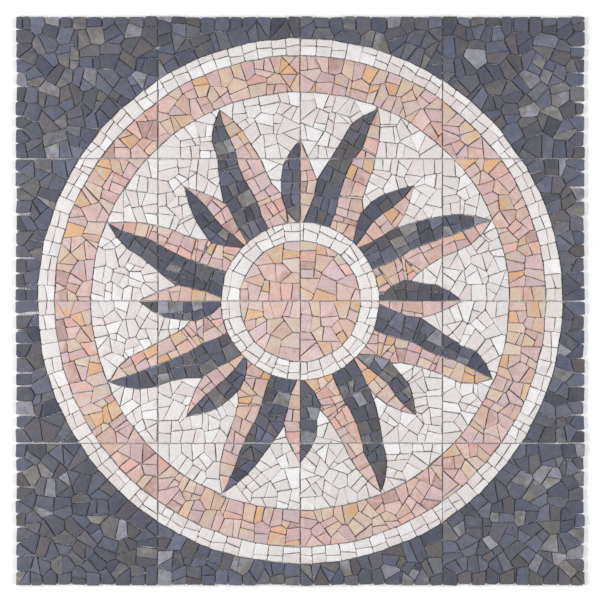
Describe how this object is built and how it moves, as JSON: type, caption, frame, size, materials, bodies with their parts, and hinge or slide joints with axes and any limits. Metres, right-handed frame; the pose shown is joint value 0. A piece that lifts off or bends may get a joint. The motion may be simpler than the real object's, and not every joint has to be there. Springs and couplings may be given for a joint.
{
  "type": "mosaic panel",
  "caption": "Square natural stone mosaic floor panel: broken marble pieces on mesh-backed sheets, showing a sun with flame-shaped rays in two stones inside rings",
  "frame": {"origin": "middle of the underside, where the panel lies on a floor", "axes": "+Z out of the stone face, +Y towards the short ray at twelve o'clock, +X towards three o'clock"},
  "size_m": [1.2, 1.2, 0.009],
  "materials": {
    "charcoal_stone": "tumbled charcoal limestone, grey-blue with a little brown, matt",
    "cream_stone": "tumbled cream marble, off-white, faintly veined, matt",
    "rose_stone": "tumbled rose marble, pink to ochre, veined, matt",
    "mesh_backing": "white glass-fibre net stiffened with adhesive"
  },
  "bodies": {
    "root": {"charcoal_ground": "charcoal_stone", "outer_ring": "cream_stone", "rose_band": "rose_stone", "inner_ring": "cream_stone", "centre_disc": "rose_stone", "cream_field": "cream_stone", "short_ray_1_charcoal": "charcoal_stone", "short_ray_1_rose": "rose_stone", "short_ray_2_charcoal": "charcoal_stone", "short_ray_2_rose": "rose_stone", "short_ray_3_charcoal": "charcoal_stone", "short_ray_3_rose": "rose_stone", "short_ray_4_charcoal": "charcoal_stone", "short_ray_4_rose": "rose_stone", "short_ray_5_charcoal": "charcoal_stone", "short_ray_5_rose": "rose_stone", "short_ray_6_charcoal": "charcoal_stone", "short_ray_6_rose": "rose_stone", "short_ray_7_charcoal": "charcoal_stone", "short_ray_7_rose": "rose_stone", "short_ray_8_charcoal": "charcoal_stone", "short_ray_8_rose": "rose_stone", "long_ray_1_charcoal": "charcoal_stone", "long_ray_1_rose": "rose_stone", "long_ray_2_charcoal": "charcoal_stone", "long_ray_2_rose": "rose_stone", "long_ray_3_charcoal": "charcoal_stone", "long_ray_3_rose": "rose_stone", "long_ray_4_charcoal": "charcoal_stone", "long_ray_4_rose": "rose_stone", "long_ray_5_charcoal": "charcoal_stone", "long_ray_5_rose": "rose_stone", "long_ray_6_charcoal": "charcoal_stone", "long_ray_6_rose": "rose_stone", "long_ray_7_charcoal": "charcoal_stone", "long_ray_7_rose": "rose_stone", "long_ray_8_charcoal": "charcoal_stone", "long_ray_8_rose": "rose_stone", "mesh_sheet_a1": "mesh_backing", "mesh_sheet_a2": "mesh_backing", "mesh_sheet_a3": "mesh_backing", "mesh_sheet_a4": "mesh_backing", "mesh_sheet_b1": "mesh_backing", "mesh_sheet_b2": "mesh_backing", "mesh_sheet_b3": "mesh_backing", "mesh_sheet_b4": "mesh_backing", "mesh_sheet_c1": "mesh_backing", "mesh_sheet_c2": "mesh_backing", "mesh_sheet_c3": "mesh_backing", "mesh_sheet_c4": "mesh_backing", "mesh_sheet_d1": "mesh_backing", "mesh_sheet_d2": "mesh_backing", "mesh_sheet_d3": "mesh_backing", "mesh_sheet_d4": "mesh_backing"}
  },
  "joints": []
}
